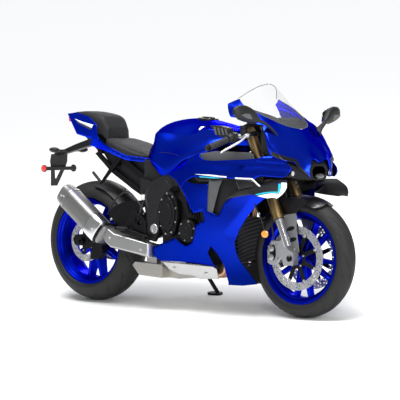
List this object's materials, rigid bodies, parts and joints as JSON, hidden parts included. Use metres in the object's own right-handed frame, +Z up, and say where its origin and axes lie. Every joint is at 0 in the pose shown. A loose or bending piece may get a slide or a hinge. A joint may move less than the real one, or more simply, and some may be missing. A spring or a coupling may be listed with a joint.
{
  "type": "sport motorcycle",
  "caption": "Fully faired sport motorcycle parked on its side stand, with turning wheels, steering and a folding stand.",
  "frame": {"origin": "centre of the bounding box in plan, on the ground", "axes": "+X forward, +Y to the rider's left, +Z up; the bike leans to +Y on its side stand"},
  "size_m": [2.0485, 0.847, 1.1517],
  "materials": {
    "body_blue": "gloss",
    "wheel_blue": "gloss",
    "tyre_rubber": "matte",
    "brake_steel": "brushed",
    "cast_alloy": "satin",
    "gold_alloy": "anodised",
    "black_plastic": "satin",
    "hose_rubber": "satin",
    "black_metal": "satin",
    "engine_metal": "satin",
    "exhaust_steel": "satin",
    "titanium": "brushed",
    "seat_vinyl": "matte",
    "lens": "gloss",
    "clear_screen": "clear",
    "chain_steel": "satin"
  },
  "bodies": {
    "front_wheel": {"front_rim": "wheel_blue", "front_tyre": "tyre_rubber", "front_discs": "brake_steel"},
    "rear_wheel": {"rear_rim": "wheel_blue", "rear_tyre": "tyre_rubber", "rear_disc": "brake_steel", "rear_sprocket": "brake_steel"},
    "steering": {"triple_clamps": "cast_alloy", "fork_tubes": "gold_alloy", "fork_legs": "cast_alloy", "front_spindle": "brake_steel", "front_fender": "black_plastic", "front_calipers": "cast_alloy", "handlebars": "black_plastic", "hand_levers": "cast_alloy", "brake_hoses": "hose_rubber"},
    "stand": {"side_stand": "black_metal"},
    "chassis": {"frame": "black_metal", "subframe": "black_metal", "swingarm": "black_metal", "engine_block": "engine_metal", "engine_covers": "engine_metal", "radiator": "black_metal", "exhaust_pipes": "exhaust_steel", "silencer": "titanium", "heat_shields": "cast_alloy", "fuel_tank": "body_blue", "rider_seat": "seat_vinyl", "passenger_seat": "seat_vinyl", "tail_cowl": "body_blue", "plate_bracket": "black_plastic", "signals": "lens", "rear_hugger": "black_plastic", "upper_cowl": "body_blue", "windscreen": "clear_screen", "side_fairings": "body_blue", "ducts": "black_plastic", "winglets": "black_plastic", "headlamps": "lens", "mirrors": "black_plastic", "dash": "black_plastic", "rear_shock": "black_metal", "rear_brake": "black_metal", "foot_rests": "black_metal", "chain": "chain_steel", "lower_panel": "black_plastic"}
  },
  "joints": [
    {"name": "steering", "type": "hinge", "parent": "chassis", "child": "steering", "pos_m": [0.51459, -0.058, 0.69086], "axis": [-0.4067, 0.1586, 0.8997], "range_deg": [-24, 24]},
    {"name": "front_wheel_spin", "type": "hinge", "parent": "steering", "child": "front_wheel", "pos_m": [0.72425, -0.12756, 0.29638], "axis": [0, 0.9848, -0.1736], "continuous": true},
    {"name": "rear_wheel_spin", "type": "hinge", "parent": "chassis", "child": "rear_wheel", "pos_m": [-0.68075, -0.12391, 0.31703], "axis": [0, 0.9848, -0.1736], "continuous": true},
    {"name": "side_stand", "type": "hinge", "parent": "chassis", "child": "stand", "pos_m": [-0.18325, 0.03799, 0.26777], "axis": [0.0036, 0.9624, 0.2718], "range_deg": [0, 97]}
  ]
}
